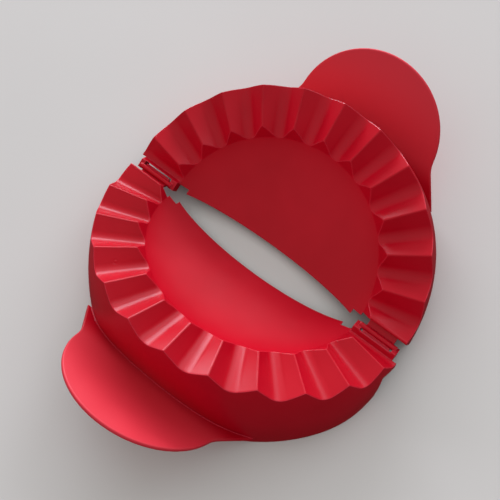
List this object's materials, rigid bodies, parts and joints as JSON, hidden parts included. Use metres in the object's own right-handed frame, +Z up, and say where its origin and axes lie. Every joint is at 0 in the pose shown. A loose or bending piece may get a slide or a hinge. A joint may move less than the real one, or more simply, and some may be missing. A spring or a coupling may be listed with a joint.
{
  "type": "empanada press",
  "caption": "Hand press for filled pastry: pleated half dishes on skirts, hinged along the fold by hooks round bars, with a round grip tab on each half.",
  "frame": {"origin": "on the table, under the middle of the fold line, press lying open", "axes": "+X along the fold line, +Y from the front half to the back half, +Z up"},
  "size_m": [0.1386, 0.1836, 0.042],
  "materials": {
    "red_plastic": "satin"
  },
  "bodies": {
    "front_half": {"front_half": "red_plastic"},
    "back_half": {"back_half": "red_plastic"}
  },
  "joints": [
    {"name": "fold_hinge", "type": "hinge", "parent": "front_half", "child": "back_half", "pos_m": [0, 0, 0.00982], "axis": [1, 0, 0], "range_deg": [0, 126.4]}
  ]
}
